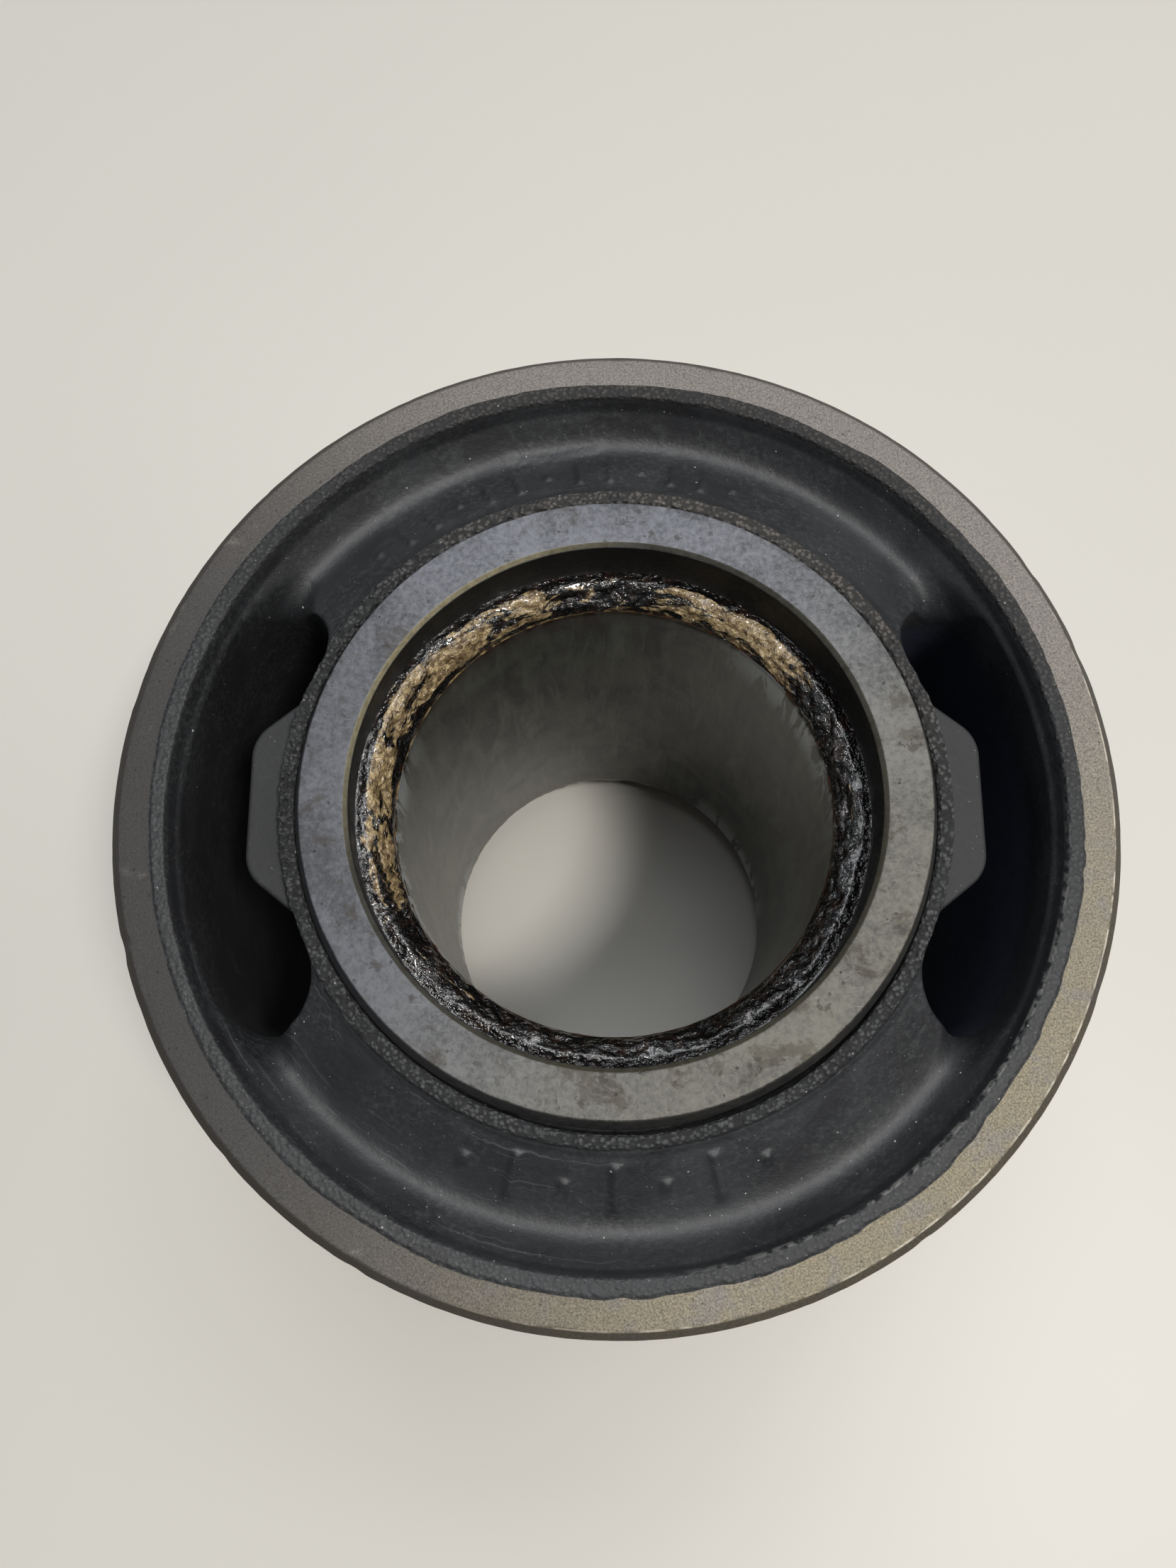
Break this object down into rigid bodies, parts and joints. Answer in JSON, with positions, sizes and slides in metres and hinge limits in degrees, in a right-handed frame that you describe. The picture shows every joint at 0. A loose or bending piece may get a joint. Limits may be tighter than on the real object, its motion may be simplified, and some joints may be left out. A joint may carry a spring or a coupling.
{
  "type": "voided rubber-metal pivot bushing",
  "caption": "Rubber-metal pivot bushing: outer steel sleeve, bonded rubber with kidney voids and bump stops, inner sleeve with seal seats and a plain bearing liner.",
  "frame": {"origin": "on the bore's axis, at the middle of the bushing's length, which is the centre of its bounding box", "axes": "+Z along the bore towards the marked end, +X through the middle of one void and stop lobe, +Y through the rear rubber leg"},
  "size_m": [0.1, 0.1, 0.088],
  "materials": {
    "outer_steel": "blasted and dulled, with a worn edge",
    "rubber": "satin moulded black rubber",
    "inner_steel": "turned face, stained and oily",
    "bearing_bronze": "smooth bore under an old film of grease"
  },
  "bodies": {
    "outer": {"outer_sleeve": "outer_steel", "rubber_outer_skin": "rubber"},
    "legs": {"rubber_leg_front": "rubber", "rubber_leg_rear": "rubber"},
    "inner": {"rubber_inner_skin": "rubber", "inner_sleeve": "inner_steel", "bearing_liner": "bearing_bronze"}
  },
  "joints": [
    {"name": "radial_give", "type": "slide", "parent": "outer", "child": "legs", "axis": [1, 0, 0], "range_m": [-0.0064, 0.0064], "stiffness_N_per_m": 2000000, "deforming": ["rubber_leg_front", "rubber_leg_rear"]},
    {"name": "torsion", "type": "hinge", "parent": "legs", "child": "inner", "pos_m": [0, 0, 0], "axis": [0, 0, 1], "range_deg": [-12, 12], "stiffness_Nm_per_rad": 1430, "deforming": ["rubber_leg_front", "rubber_leg_rear"]}
  ]
}
